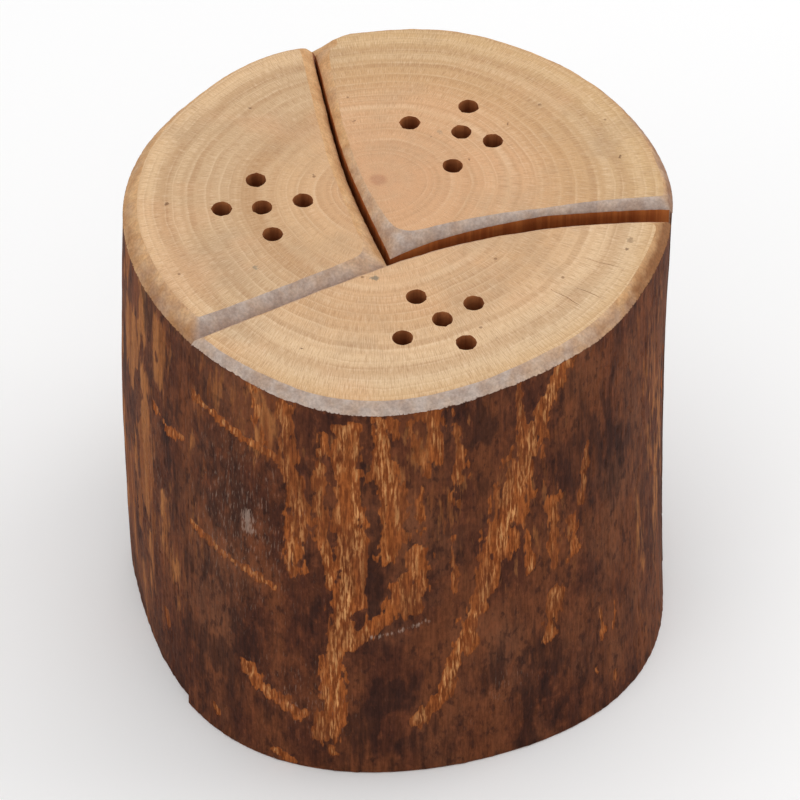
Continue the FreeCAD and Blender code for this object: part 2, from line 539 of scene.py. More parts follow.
def wood_block(segment, materials, seed):
    """One segment's wood as a closed surface. From the base up: a base face, an arris,
    wall rows to each column's bevel edge, bevel rows in to the top face's edge, and the
    top face, from which the bores' own rows run down to a cone."""
    part = PARTS[segment]
    tops = [at_height(wall, np.full(wall.shape[1], LOG_TOP)) for wall in part["walls"]]
    # The bark's thickness, away from the ends of the rim
    thickness = lengths(part["outer"][2] - part["walls"][0][2])[20:-20].mean()
    own = bevel_widths(segment, seed)
    own[0] = own[0] - thickness
    depths = bevel_depths(tops, own)
    part["rim_depth"], part["thickness"] = depths[0], thickness

    levels = np.concatenate([wall[:, :-1] for wall in part["walls"]], axis=1)
    depth = np.concatenate([d[:-1] for d in depths])
    counts = [len(d) - 1 for d in depths]
    wall_number = np.repeat(range(len(counts)), counts)
    share = np.concatenate([shares(count + 1)[:-1] for count in counts])
    columns = levels.shape[1]
    along = np.arange(columns) * COLUMN

    # walls, with the saw's ripple on the sawn ones
    rise = shares(WALL_ROWS)[:, None]
    height = BASE_ARRIS + rise * (LOG_TOP - depth - BASE_ARRIS)
    flat = at_height(levels, height)
    foot, head = (inward(np.concatenate([r[-1:], r, r[:1]]))[1:-1] for r in flat[[0, -1]])
    away = foot * (1 - rise[..., None]) + head * rise[..., None]
    to_corner = np.minimum(share, 1 - share) * np.bincount(wall_number)[wall_number]
    sawn = (wall_number > 0) * fade(to_corner / 5.0)
    ripple = 0.32 * layered(along / 3.1, height / 60.0, seed + 3)
    ripple = ripple + 0.22 * layered(along / 40.0, height / 1.9, seed + 4, 2)
    walls = raised(flat + away * (sawn * ripple)[..., None], height)

    # base and bevel
    base = raised(at_height(levels, np.zeros(columns)) + foot * 0.5, 0.0)
    edge = inner_edge(tops, own, ROUNDING[segment])
    edge = edge + head * (0.5 * (layered(along / 9.0, 1.5, seed + 5) - 0.5))[:, None]
    up = shares(BEVEL_ROWS + 1)[1:-1, None]
    bevel = walls[-1] * (1 - up[..., None]) + raised(edge, LOG_TOP) * up[..., None]
    swell = 0.25 + 0.3 * (layered(along / 5.0, up * 2.0, seed + 6) - 0.6)
    swell = np.sin(math.pi * up) * swell
    bevel[..., 2] += swell
    bevel[..., :2] -= head * swell[..., None]

    # The vertices are numbered: base, walls, bevel, top (edge, then mouths), bores
    points, triangles, radii, sunk = end_grain(segment, edge, seed)
    x, y = points.T
    top = raised(points, LOG_TOP - 0.10 * layered(x / 2.3, y / 2.3, seed + 7))
    top[sunk, 2] -= 0.8
    count = columns * (WALL_ROWS + BEVEL_ROWS)
    body = np.arange(count + columns).reshape(-1, columns)
    faces = [body[0][::-1].tolist()] + band_faces(body[:-1], body[1:]).tolist()
    slots = [SAWN] * (1 + columns * WALL_ROWS) + [BEVEL] * (columns * BEVEL_ROWS)
    faces += (triangles + count).tolist()
    slots += [END] * len(triangles)
    vertices = [base, walls.reshape(-1, 3), bevel.reshape(-1, 3), top]
    total = count + len(top)

    drill = part["radius"]
    cone_top = part["tip"] + drill / math.tan(DRILL_HALF_POINT)
    rows = LOG_TOP + shares(BORE_ROWS)[1:, None] ** 1.6 * (cone_top - LOG_TOP)
    for k, (centre, mouth) in enumerate(zip(part["centres"], radii)):
        spiral = 0.10 * np.sin(rows * 2.1 + BORE_ANGLES + k)
        tear = (mouth - drill) * np.exp(-(LOG_TOP - rows) / 1.1)
        radius = drill + tear + spiral * fade((LOG_TOP - rows) / 3.0)
        bore = raised(centre + BORE_CIRCLE * radius[..., None], rows).reshape(-1, 3)
        vertices += [bore, np.append(centre, part["tip"])[None]]
        first, tip = count + columns + k * BORE_SIDES, total + len(bore)
        rings = np.append(np.arange(first, first + BORE_SIDES), np.arange(total, tip))
        rings = rings.reshape(-1, BORE_SIDES)
        cone = [rings[-1], np.roll(rings[-1], -1), np.full(BORE_SIDES, tip)]
        faces += band_faces(rings[:-1], rings[1:]).tolist() + np.stack(cone, axis=1).tolist()
        slots += [BORE] * rings.size
        total = tip + 1
    vertices = np.concatenate(vertices)

    # What each vertex tells the materials
    values = {"ring": ring_share(segment, vertices[:, :2])}
    for key, table in (("grey", GREYING), ("brown", BROWNING)):
        knots = [np.interp(share, (0.0, 0.5, 1.0), wall) for wall in table[segment]]
        column = smooth_round(np.choose(wall_number, knots), 2)
        values[key] = np.zeros(total)
        values[key][: body.size] = np.tile(column, len(body))
    inset = [np.zeros(columns * (1 + WALL_ROWS)), np.repeat(up, columns), np.ones(total - count)]
    values["inset"] = np.concatenate(inset)
    piece = new_piece(segment + "_block", vertices, faces, slots, materials, values)
    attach(piece, segment)
    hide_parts(segment + "_wood")
    return piece


# --- Bark

BARK_FACE, BARK_CUT = range(2)
BARK_ROWS = 232
# The arm in mm that turns bearings into lengths around the bark
ARM = 110.0

# Where the outer bark is scraped off: width in mm and strength (1 fully off, 0.5 only
# rubbed), then the stroke's chain of bearings in degrees and heights in mm
SCRAPES = [
    (5.5, 1.0, 223, 184, 232, 181, 238, 178, 246, 177),
    (6.0, 0.95, 224, 112, 233, 108, 240, 106, 246, 103), (8.0, 0.75, 208, 150, 214, 146, 219, 152),
    (13.0, 0.74, 240, 208, 242, 196, 244, 182),
    (12.5, 0.95, 248, 205, 249, 180, 251, 150, 250, 118),
    (7.0, 0.92, 256.5, 197, 255.5, 172, 256, 142, 258, 112),
    (13.0, 1.2, 261.2, 199, 261.6, 165, 261.8, 130, 261.5, 104),
    (12.0, 1.1, 261.2, 106, 259.8, 84, 258, 60, 258, 42, 256.5, 22),
    (10.0, 1.1, 260, 76, 264, 84, 268, 94, 271, 104, 273, 118),
    (12.0, 0.95, 268, 205, 268, 182, 270, 160), (14.0, 0.95, 270, 158, 271, 142, 269.5, 132),
    (5.0, 0.72, 276, 172, 275.5, 140), (12.0, 1.0, 275, 132, 275, 118, 274, 98),
    (7.0, 0.7, 273, 204, 277, 176, 275, 152), (14.0, 0.85, 278, 208, 279, 186),
    (11.0, 0.8, 283, 204, 284, 182, 283, 156), (4.5, 0.72, 282, 136, 283, 104),
    (12.0, 1.05, 310, 212, 307, 200, 303, 188, 300, 172),
    (22.0, 1.0, 300, 174, 297, 160, 295, 144, 293, 126),
    (13.0, 0.95, 293, 130, 291, 112, 288, 95, 285, 74),
    (10.0, 1.0, 285, 76, 282, 58, 280, 46, 275, 31),
    (7.0, 0.85, 297, 208, 298, 190, 299, 165, 298, 142, 299, 122, 300, 104),
    (10.0, 0.84, 306, 136, 305, 118, 306, 100), (5.0, 0.9, 315, 158, 314, 142, 313, 128),
    (9.0, 0.86, 310, 120, 311, 104), (9.0, 1.0, 306, 84, 304, 60), (5.0, 0.72, 317, 62, 318, 42),
    (5.0, 0.7, 322, 58, 321, 44), (4.5, 0.7, 315, 30, 316, 24), (5.0, 0.7, 321, 17, 321, 11),
    (4.5, 0.75, 295, 208, 297, 199), (9.5, 1.0, 240, 50, 243, 42, 251, 33),
    (6.0, 0.8, 211, 36, 213, 27), (5.0, 0.75, 231, 15, 232, 11), (6.0, 0.9, 246, 5, 250, 2),
    (5.0, 0.75, 257, 16, 258, 11), (10.0, 0.95, 34, 196, 33, 165, 35, 130, 32, 96),
    (9.0, 0.9, 41, 150, 43, 118, 47, 84, 52, 60), (7.0, 0.8, 76, 188, 75, 160, 77, 128),
    (12.0, 0.95, 97, 120, 99, 84, 98, 40), (10.0, 0.9, 118, 204, 116, 176, 112, 150, 110, 128),
    (9.0, 0.85, 143, 96, 141, 66, 142, 30), (11.0, 0.85, 158, 176, 160, 150, 159, 112),
    (8.0, 0.65, 352, 150, 351, 118, 353, 90), (9.0, 0.75, 12, 92, 13, 60, 11, 36),
]
# Chalky rubs, listed in the same way
CHALK = [
    (6.0, 0.62, 239.5, 138, 240, 130),
    (2.6, 0.4, 266, 83.5, 271.5, 87.3, 277, 91.3),
]
# Broad patches: bearing and height of the middle, half-widths of each, strength
# Partly dust and partly painted light that makes the front-left bark lighter
DUST_AND_LIGHT_PATCHES = [
    (236, 132, 12, 44, 0.2), (250, 44, 10, 18, 0.14), (206, 110, 8, 60, 0.14),
    (292, 40, 10, 16, 0.1),
]
OCHRE_PATCHES = [
    (193, 170, 6, 46, 1.5), (199, 120, 5, 66, 1.5), (206, 186, 5, 24, 1.2), (188, 80, 6, 46, 1.3),
    (209, 120, 3, 50, 1.0), (201, 62, 5, 26, 0.9), (178, 140, 6, 60, 1.1), (216, 60, 4, 14, 0.6),
    (243, 192, 4, 18, 0.7), (231, 196, 5, 12, 0.55), (262, 186, 7, 20, 0.35),
    (278, 190, 6, 18, 0.5), (281, 160, 4, 24, 0.35), (172, 120, 7, 60, 1.0), (150, 60, 6, 40, 0.8),
    (128, 140, 7, 50, 0.8), (60, 110, 8, 50, 0.8), (85, 50, 9, 30, 0.6), (20, 150, 6, 44, 0.7),
    (345, 120, 5, 90, 0.7), (332, 100, 2, 70, 0.45), (300, 128, 8, 36, 0.4),
    (225, 150, 3, 40, 0.5),
]
DARK_PATCHES = [
    (214, 150, 3, 40, 1.0), (203, 196, 3, 12, 0.8), (185, 130, 2, 40, 0.8), (232, 60, 12, 40, 0.8),
    (268, 40, 10, 30, 0.9), (300, 30, 12, 34, 0.8), (287, 190, 5, 22, 0.9), (236, 140, 8, 24, 0.7),
    (318, 150, 12, 40, 0.7), (266, 120, 3, 30, 0.9), (254, 90, 4, 60, 0.6),
    (265, 180, 2.5, 24, 0.9),
]


def stroke_field(bearing, height, strokes):
    """How far inside the nearest stroke each point is: the stroke's strength times 1.3
    less the distance to its chain in half-widths (0.66 of the width), never under 0."""
    field = np.zeros(bearing.shape)
    around = np.radians(bearing) * ARM
    for width, strength, *chain in strokes:
        points = np.array(chain, float).reshape(-1, 2)
        points[:, 0] = np.radians(points[:, 0]) * ARM
        nearest = np.inf
        for start, end in zip(points[:-1], points[1:]):
            run = end - start
            share = ((around - start[0]) * run[0] + (height - start[1]) * run[1]) / (run @ run)
            share = np.clip(share, 0.0, 1.0)
            x, y = around - start[0] - share * run[0], height - start[1] - share * run[1]
            nearest = np.minimum(nearest, np.hypot(x, y))
        field = np.maximum(field, strength * (1.3 - nearest / (0.66 * width)))
    return field


def patch_field(bearing, height, patches):
    """The strongest of several bell-shaped patches at each point."""
    field = np.zeros(bearing.shape)
    for middle, level, across, up, strength in patches:
        bell = np.exp(-0.5 * (((bearing - middle) / across) ** 2 + ((height - level) / up) ** 2))
        field = np.maximum(field, strength * bell)
    return field


def bark_shell(segment, materials, seed):
    """One segment's bark as a closed shell: a profile (outer side up, sloping cut edge,
    inner side down, underside) carried along the rim and capped at both ends. The relief
    goes inwards only: long fibres, slow waves, fissures, and the scraped patches."""
    part = PARTS[segment]
    inner, outer, thickness = part["walls"][0], part["outer"], part["thickness"]
    columns = inner.shape[1]
    along = np.linspace(0.0, chain_length(inner[1]), columns)
    cut = LOG_TOP - part["rim_depth"]
    notch = 0.35 * fade(noise(along / 1.1, 0.5, seed + 1) * 1.6 - 0.4)
    notch = notch + 0.5 * noise(along / 7.0, 2.5, seed + 2)
    outer_top = cut - thickness - notch
    foot = 0.25 + 0.9 * fade(noise(along / 4.0, 0.5, seed + 3) * 2.0 - 0.9)

    height = foot + shares(BARK_ROWS)[:, None] * (outer_top - foot)
    face = at_height(outer, height)
    into = at_height(inner, height) - face
    into /= lengths(into)[..., None]
    x, y = np.moveaxis(face - np.array(LOG_AXIS[segment]), -1, 0)
    bearing = np.degrees(np.arctan2(y, x)) % 360
    arc = np.radians(bearing) * ARM

    # What is scraped, pale (painted highlights on the fibres), chalky (with broad patches that are
    # partly painted light), ochre and dark, the edges broken by noise
    field = stroke_field(bearing, height, SCRAPES)
    fibre = contrast(layered(arc / 1.3, height / 3.8, 801, 2), 2.1)
    flake = contrast(layered(arc / 5.0, height / 10.0, 811, 4), 2.3)
    chip = contrast(layered(arc / 2.8, height / 7.0, 821, 2), 2.2)
    strand = contrast(layered(arc / 1.7, height / 14.0, 841, 2), 1.8)
    scrape = fade((field - 0.06 - 0.34 * fibre - 0.34 * flake - 0.32 * chip) / 0.36)
    marks = {
        "scrape": scrape,
        # pale: painted highlights on the scraped fibres
        "pale": scrape * fade((strand - 0.25) / 0.5) * fade((field - 0.6) / 0.55),
    }
    for key, patches, tall, number in (
        ("ochre", OCHRE_PATCHES, 24.0, 851), ("dark", DARK_PATCHES, 16.0, 861)
    ):
        ragged = fade(layered(arc / 7.0, height / tall, number, 5) * 4.0 - 1.3)
        marks[key] = patch_field(bearing, height, patches) * ragged
    # Broad lighter patches: partly dust, partly painted light on the front-left bark
    dust_and_light = patch_field(bearing, height, DUST_AND_LIGHT_PATCHES)
    # The chalky rubs and those patches in one mask, so it carries painted light too
    marks["chalk_and_light"] = np.maximum(stroke_field(bearing, height, CHALK), dust_and_light)

    long_fibre = layered(arc / 1.9, height / 26.0, 871, 4)
    waves = layered(arc / 13.0, height / 46.0, 881, 3)
    fissure = fade(1.0 - abs(layered(arc / 6.5, height / 42.0, 891, 3) - 0.5) / 0.018)
    relief = 0.10 + 0.42 * (1 - long_fibre) + 0.45 * waves + 0.35 * fissure * (1 - scrape)
    relief += 0.42 * scrape + 0.25 * scrape * (fibre - 0.4) - 0.18 * marks["pale"]
    relief = np.clip(relief, 0.05, 1.35)
    rows = list(raised(face + into * relief[..., None], height))

    # the cut edge, the inner side and the underside
    for share in (0.12, 0.3, 0.65):
        level = outer_top + share * (cut - outer_top)
        flat = at_height(outer, level) * (1 - share) + at_height(inner, level) * share
        rows.append(raised(flat, level))
    rows += [raised(at_height(inner, cut * s), cut * s) for s in (1.0, 0.75, 0.5, 0.25, 0.0)]
    level = np.zeros(columns)
    rows.append(raised(0.5 * (at_height(inner, level) + at_height(outer, level)), level))
    rows = np.stack(rows)
    count = len(rows)
    numbers = np.arange(count * columns).reshape(count, columns)
    faces = strip_faces(np.concatenate([numbers, numbers[:1]])).tolist()
    slots = [BARK_FACE] * (BARK_ROWS - 1) * (columns - 1)
    slots += [BARK_CUT] * (len(faces) + 2 - len(slots))
    faces += [numbers[::-1, 0].tolist(), numbers[:, -1].tolist()]

    # The outer side's marks carried on over the rest, and how deep into the cut edge
    past = count - BARK_ROWS
    values = {
        key: np.concatenate([grid, np.repeat(grid[-1:], past, axis=0)])
        for key, grid in marks.items()
    }
    values["edge"] = np.repeat([0.0] * BARK_ROWS + [0.5, 0.85] + [1.0] * (past - 2), columns)
    share = shares(columns)
    for key, table in (("grey", GREYING), ("brown", BROWNING)):
        values[key] = np.tile(np.interp(share, (0.0, 0.5, 1.0), table[segment][0]), count)
    values["inset"], values["ring"] = np.zeros(numbers.size), np.ones(numbers.size)
    places = rows.reshape(-1, 3)
    piece = new_piece(segment + "_bark_shell", places, faces, slots, materials, values)
    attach(piece, segment)
    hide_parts(segment + "_bark")
    return piece


# --- Node trees

def tone(red, green, blue):
    """A colour given on the 0-255 screen scale, as linear light."""
    scale = np.array([red, green, blue]) / 255.0
    linear = np.where(scale <= 0.04045, scale / 12.92, ((scale + 0.055) / 1.055) ** 2.4)
    return tuple(linear.tolist()) + (1.0,)


class Nodes:
    """A node tree being filled. Colours are sockets, screen colours (three numbers) or
    linear ones (four)."""

    def __init__(self, tree, place):
        self.tree, self.place = tree, place

    def plug(self, value, socket):
        if isinstance(value, bpy.types.NodeSocket):
            self.tree.links.new(value, socket)
        else:
            socket.default_value = value

    def add(self, kind, inputs, **settings):
        """The outputs of a new node."""
        node = self.tree.nodes.new("ShaderNode" + kind)
        for key, value in settings.items():
            setattr(node, key, value)
        for key, value in inputs.items():
            self.plug(value, node.inputs[key])
        return node.outputs

    def use(self, group, **inputs):
        return self.add("Group", dict(inputs, Coordinates=self.place), node_tree=group)

    def attribute(self, name):
        return self.add("Attribute", {}, attribute_name=name)["Fac"]

    def axes(self, vector):
        return self.add("SeparateXYZ", {0: vector})

    def vector(self, operation, first, second):
        return self.add("VectorMath", {0: first, 1: second}, operation=operation)

    def calc(self, operation, *values, clamp=False):
        return self.add("Math", dict(enumerate(values)), operation=operation, use_clamp=clamp)[0]

    def scaled(self, value, factor, base):
        """The base plus the factor times the value."""
        return self.calc("MULTIPLY_ADD", value, factor, base)

    def shaken(self, base, factor, noise):
        """The base plus the factor times the noise less a half."""
        return self.scaled(self.calc("SUBTRACT", noise, 0.5), factor, base)

    def times(self, product, *others):
        for other in others:
            product = self.calc("MULTIPLY", product, other)
        return product

    def ease(self, value, low, high, first=0.0, last=1.0):
        """Smooth step of the value from first at low to last at high."""
        ends = {"From Min": low, "From Max": high, "To Min": first, "To Max": last}
        inputs = {"Value": value, **ends}
        return self.add("MapRange", inputs, interpolation_type="SMOOTHSTEP")[0]

    def noise(self, dimensions, source, scale, detail, roughness):
        inputs = {"Scale": scale, "Detail": detail, "Roughness": roughness}
        inputs["W" if dimensions == "1D" else "Vector"] = source
        return self.add("TexNoise", inputs, noise_dimensions=dimensions)["Fac"]

    def cloud(self, scale, detail=3.0, roughness=0.55, drawn=None):
        """Noise from 0 to 1 over the coordinates, each axis first scaled as drawn says."""
        place = self.vector("MULTIPLY", self.place, drawn)[0] if drawn else self.place
        return self.noise("3D", place, scale, detail, roughness)

    def blend(self, factor, first, second, blend_type="MIX"):
        """From the first colour at 0 to the second at 1."""
        inputs = {0: factor}
        for key, colour in ((6, first), (7, second)):
            screen = isinstance(colour, tuple) and len(colour) == 3
            inputs[key] = tone(*colour) if screen else colour
        return self.add("Mix", inputs, data_type="RGBA", blend_type=blend_type)[2]

    def grade(self, colour, value, dark, light):
        """The colour multiplied by a factor, dark at 0 and light at 1."""
        factor = self.blend(value, (dark, dark, dark, 1.0), (light, light, light, 1.0))
        return self.blend(1.0, colour, factor, "MULTIPLY")

    def coats(self, colour, *coats):
        """Colours laid over one another. (other, value, most) covers by the value times
        the most; (other, value, most, low, high) covers not at all where the value is low
        and the most where it is high."""
        for other, value, most, *ends in coats:
            factor = self.ease(value, *ends, 0.0, most) if ends else self.times(value, most)
            colour = self.blend(factor, colour, other)
        return colour

    def ramp(self, value, stops):
        """A colour ramp over the value, its stops given as (place, screen colour)."""
        node = self.tree.nodes.new("ShaderNodeValToRGB")
        self.plug(value, node.inputs[0])
        while len(node.color_ramp.elements) < len(stops):
            node.color_ramp.elements.new(1.0)
        for element, (position, colour) in zip(node.color_ramp.elements, stops):
            element.position, element.color = position, tone(*colour)
        return node.outputs[0]

    def surface(self, colour, height, strength, depth):
        """The shader inputs of a colour and a relief that is so many metres deep."""
        inputs = {"Height": height, "Strength": strength, "Distance": depth}
        return {"Base Color": colour, "Normal": self.add("Bump", inputs)[0]}


def new_group(name, vectors, floats, outputs, recipe):
    """A node group whose recipe, given its inputs, returns each output's value."""
    group = bpy.data.node_groups.new(name, "ShaderNodeTree")
    for labels, way, kind in (
        (vectors, "INPUT", "Vector"), (floats, "INPUT", "Float"), (outputs, "OUTPUT", "Float")
    ):
        for label in labels.split():
            group.interface.new_socket(label, in_out=way, socket_type="NodeSocket" + kind)
    given = group.nodes.new("NodeGroupInput").outputs
    end = group.nodes.new("NodeGroupOutput").inputs
    t = Nodes(group, given["Coordinates"])
    for label, value in recipe(t, given).items():
        t.plug(value, end[label])
    return group


def new_material(name, roughness, recipe, *given):
    """A material whose recipe returns its shader inputs."""
    material = bpy.data.materials.new(name)
    material.use_nodes = True
    tree = material.node_tree
    t = Nodes(tree, tree.nodes.new("ShaderNodeTexCoord").outputs["Object"])
    inputs = {"Roughness": roughness, "Specular IOR Level": 0.12, **recipe(t, *given)}
    for key, value in inputs.items():
        t.plug(value, tree.nodes["Principled BSDF"].inputs[key])
    return material


# --- Shared effects

RING_COUNT = 21.0
RAY_FINENESS = (250.0, 22.0)


def growth_rings(t, given):
    """Bands and lines that follow the ring share, rays that run out from the pith and
    rare dark flecks."""
    share = given["Ring"]
    ring = t.shaken(share, 0.045, t.cloud(26.0, 2.0))
    ring = t.shaken(ring, 0.007, t.cloud(240.0, 2.0))
    band = t.ease(share, 0.05, 0.35, 0.7, 1.0)
    band = t.shaken(0.5, band, t.noise("1D", ring, 17.0, 3.0, 0.6))
    uneven = t.noise("1D", ring, 7.0, 1.0, 0.5)
    phase = t.calc("FRACT", t.scaled(uneven, 3.0, t.times(ring, RING_COUNT)))
    strength = t.ease(t.cloud(34.0, 2.0), 0.35, 0.65, 0.2, 1.0)
    strength = t.times(strength, t.ease(share, 0.03, 0.2, 0.55, 1.0))
    arm = t.axes(t.vector("SUBTRACT", t.place, given["Pith"])[0])
    sweep = t.times(t.calc("ARCTAN2", arm[1], arm[0]), RAY_FINENESS[0])
    sweep = t.add("CombineXYZ", {0: sweep, 1: t.times(share, RAY_FINENESS[1])})[0]
    cells = t.add("TexVoronoi", {"Vector": t.place, "Scale": 150.0, "Randomness": 1.0})
    rare = t.calc("GREATER_THAN", t.axes(cells["Color"])[0], 0.94)
    return {
        "Shifted": ring,
        "Band": band,
        "Line": t.times(t.ease(phase, 0.55, 0.95), t.ease(phase, 1.0, 0.965), strength),
        "Light": t.times(t.ease(phase, 0.0, 0.03), t.ease(phase, 0.24, 0.06), strength),
        "Ray": t.noise("2D", sweep, 1.0, 3.0, 0.7),
        "Fleck": t.times(t.ease(cells["Distance"], 0.14, 0.07), rare),
    }


def long_grain(t, given):
    """Fibres drawn out along the log's length, fine and broad."""
    outputs = {}
    for name, scale, roughness in (("Fibre", 900.0, 0.6), ("Streak", 150.0, 0.55)):
        scale = t.times(given["Fineness"], scale)
        outputs[name] = t.cloud(scale, 4.0, roughness, drawn=(1, 1, 0.045))
    return outputs


def broken_mask(t, given):
    """A soft amount turned into a ragged patch: it shows where it beats a fibrous noise."""
    rough = t.ease(t.cloud(given["Scale"], 3.0, 0.6, drawn=(1, 1, 0.16)), 0.28, 0.72)
    reach = t.times(given["Amount"], t.calc("ADD", given["Softness"], 1.0))
    gate = t.calc("SUBTRACT", reach, rough)
    return {"Mask": t.calc("DIVIDE", gate, given["Softness"], clamp=True)}


def weathering(t, given):
    """The grey and brown attributes broken into soft mottling."""
    outputs = {}
    for name, scale in (("Grey", 95.0), ("Brown", 130.0)):
        mottle = t.ease(t.cloud(scale, 4.0, 0.6), 0.3, 0.7, -0.18, 0.18)
        outputs[name] = t.calc("ADD", given[name], mottle, clamp=True)
    return outputs


GROWTH_RINGS = new_group(
    "Growth rings", "Coordinates Pith", "Ring", "Shifted Band Line Light Ray Fleck", growth_rings
)
LONG_GRAIN = new_group("Long grain", "Coordinates", "Fineness", "Fibre Streak", long_grain)
BROKEN_MASK = new_group("Broken mask", "Coordinates", "Amount Scale Softness", "Mask", broken_mask)
WEATHERING = new_group("Weathering", "Coordinates", "Grey Brown", "Grey Brown", weathering)


# --- Materials

# The end grain's colours from the pith (0) to the rim (1)
GRAIN_TONES = {
    "left": [(0.1, (206, 158, 116)), (0.34, (216, 176, 134)), (0.52, (192, 152, 112)),
             (0.62, (206, 172, 134)), (0.84, (200, 166, 128)), (0.93, (222, 186, 144))],
    "back": [(0.022, (186, 126, 92)), (0.04, (212, 162, 122)), (0.3, (214, 167, 126)),
             (0.5, (216, 170, 128)), (0.66, (204, 162, 118)), (0.82, (204, 168, 126)),
             (0.95, (212, 176, 130))],
    "front": [(0.1, (212, 166, 124)), (0.45, (220, 178, 136)), (0.62, (208, 166, 124)),
              (0.75, (222, 186, 146)), (0.9, (214, 182, 144)), (0.96, (216, 180, 136))],
}


def mark_mask(t, marks):
    """Soft ragged marks on the top face, each as dark as its last number says."""
    ragged = t.cloud(700.0, 2.0)
    mask = 0.0
    for x, y, radius, strength in marks:
        centre = (x * MM, y * MM, LOG_TOP * MM)
        away = t.shaken(t.vector("DISTANCE", t.place, centre)["Value"], 0.004, ragged)
        spot = t.ease(away, radius * MM, 0.35 * radius * MM, 0.0, strength)
        mask = t.calc("MAXIMUM", mask, spot)
    return mask


def top_recipe(t, segment):
    """End grain with its bands, rays, patches, lines, flecks and marks."""
    x, y = np.array(LOG_AXIS[segment]) + PITH_FROM_AXIS
    rings = t.use(GROWTH_RINGS, Ring=t.attribute("ring"), Pith=(x * MM, y * MM, 0.0))
    band, ray = rings["Band"], rings["Ray"]
    colour = t.coats(
        t.ramp(rings["Shifted"], GRAIN_TONES[segment]),
        ((180, 138, 98), band, 0.32, 0.52, 0.3),
        ((230, 198, 158), band, 0.3, 0.5, 0.72),
        ((184, 154, 122), t.cloud(26.0, 5.0, 0.6), 0.5, 0.46, 0.7),
        ((218, 168, 126), t.cloud(17.0, drawn=(1, 1.4, 1)), 0.4, 0.5, 0.7),
        ((160, 114, 76), rings["Line"], 0.18),
        ((236, 208, 172), rings["Light"], 0.26),
        ((160, 118, 84), ray, 0.44, 0.48, 0.68),
        ((234, 206, 176), ray, 0.4, 0.48, 0.28),
        ((116, 78, 50), rings["Fleck"], 0.6),
    )
    colour = t.blend(mark_mask(t, DARK_MARKS[segment]), colour, (84, 50, 32))
    colour = t.blend(mark_mask(t, MOULD_MARKS[segment]), colour, (104, 108, 98))
    grit = t.cloud(1500.0, 2.0)
    height = t.scaled(ray, 0.6, grit)
    return t.surface(t.grade(colour, grit, 0.86, 1.12), height, 0.25, 0.0003)


def bevel_colour(t):
    """Cut wood across the grain, greyed and browned as the attributes say, the brown
    strongest at the bevel's lower edge; and the noise for its relief."""
    brown_tint = t.times(t.attribute("brown"), t.ease(t.attribute("inset"), 0.0, 1.0, 1.1, 0.3))
    worn = t.use(WEATHERING, Grey=t.attribute("grey"), Brown=brown_tint)
    soft = t.ease(t.cloud(160.0, 4.0, 0.6), 0.35, 0.65)
    cut = t.cloud(900.0, 3.0, 0.6)
    colour = t.coats(
        t.blend(soft, (202, 156, 110), (216, 174, 128)),
        ((124, 76, 44), worn["Brown"], 0.85),
        (t.blend(soft, (164, 147, 138), (184, 170, 162)), worn["Grey"], 0.9),
    )
    return t.grade(colour, t.ease(cut, 0.3, 0.7), 0.86, 1.12), cut


def bevel_recipe(t):
    colour, cut = bevel_colour(t)
    return t.surface(colour, cut, 0.3, 0.0004)


def sawn_recipe(t):
    """Long grain whose bands follow the rings, with the gaps' shade and reflected light painted
    in the open upper part of the gaps as a darker orange-brown, plainer wood further down."""
    grain = t.use(LONG_GRAIN, Fineness=1.0)
    level = t.scaled(grain["Streak"], 0.05, t.axes(t.place)[2])
    # Painted shade and reflected light of the gaps: strongest at the top, gone about 90 mm down
    clear_of_painted_shade = t.ease(level, (LOG_TOP + 12.0) * MM, (LOG_TOP - 90.0) * MM)
    band = t.ease(t.noise("1D", t.attribute("ring"), 30.0, 4.0, 0.6), 0.35, 0.65)
    # The darker orange-brown that paints the gaps' shade and reflected light
    brown_tint = t.blend(band, (156, 84, 40), (184, 108, 54))
    colour = t.blend(clear_of_painted_shade, brown_tint, t.blend(band, (172, 118, 74), (198, 148, 100)))
    streak = t.blend(clear_of_painted_shade, (124, 64, 30), (146, 94, 56))
    colour = t.coats(colour, (streak, grain["Streak"], 0.45, 0.4, 0.7))
    return t.surface(t.grade(colour, grain["Fibre"], 0.75, 1.2), grain["Fibre"], 0.5, 0.0005)


def bore_recipe(t):
    grain = t.use(LONG_GRAIN, Fineness=1.6)
    colour = t.blend(t.ease(grain["Streak"], 0.35, 0.65), (134, 76, 42), (172, 108, 64))
    return t.surface(colour, grain["Fibre"], 0.4, 0.0004)


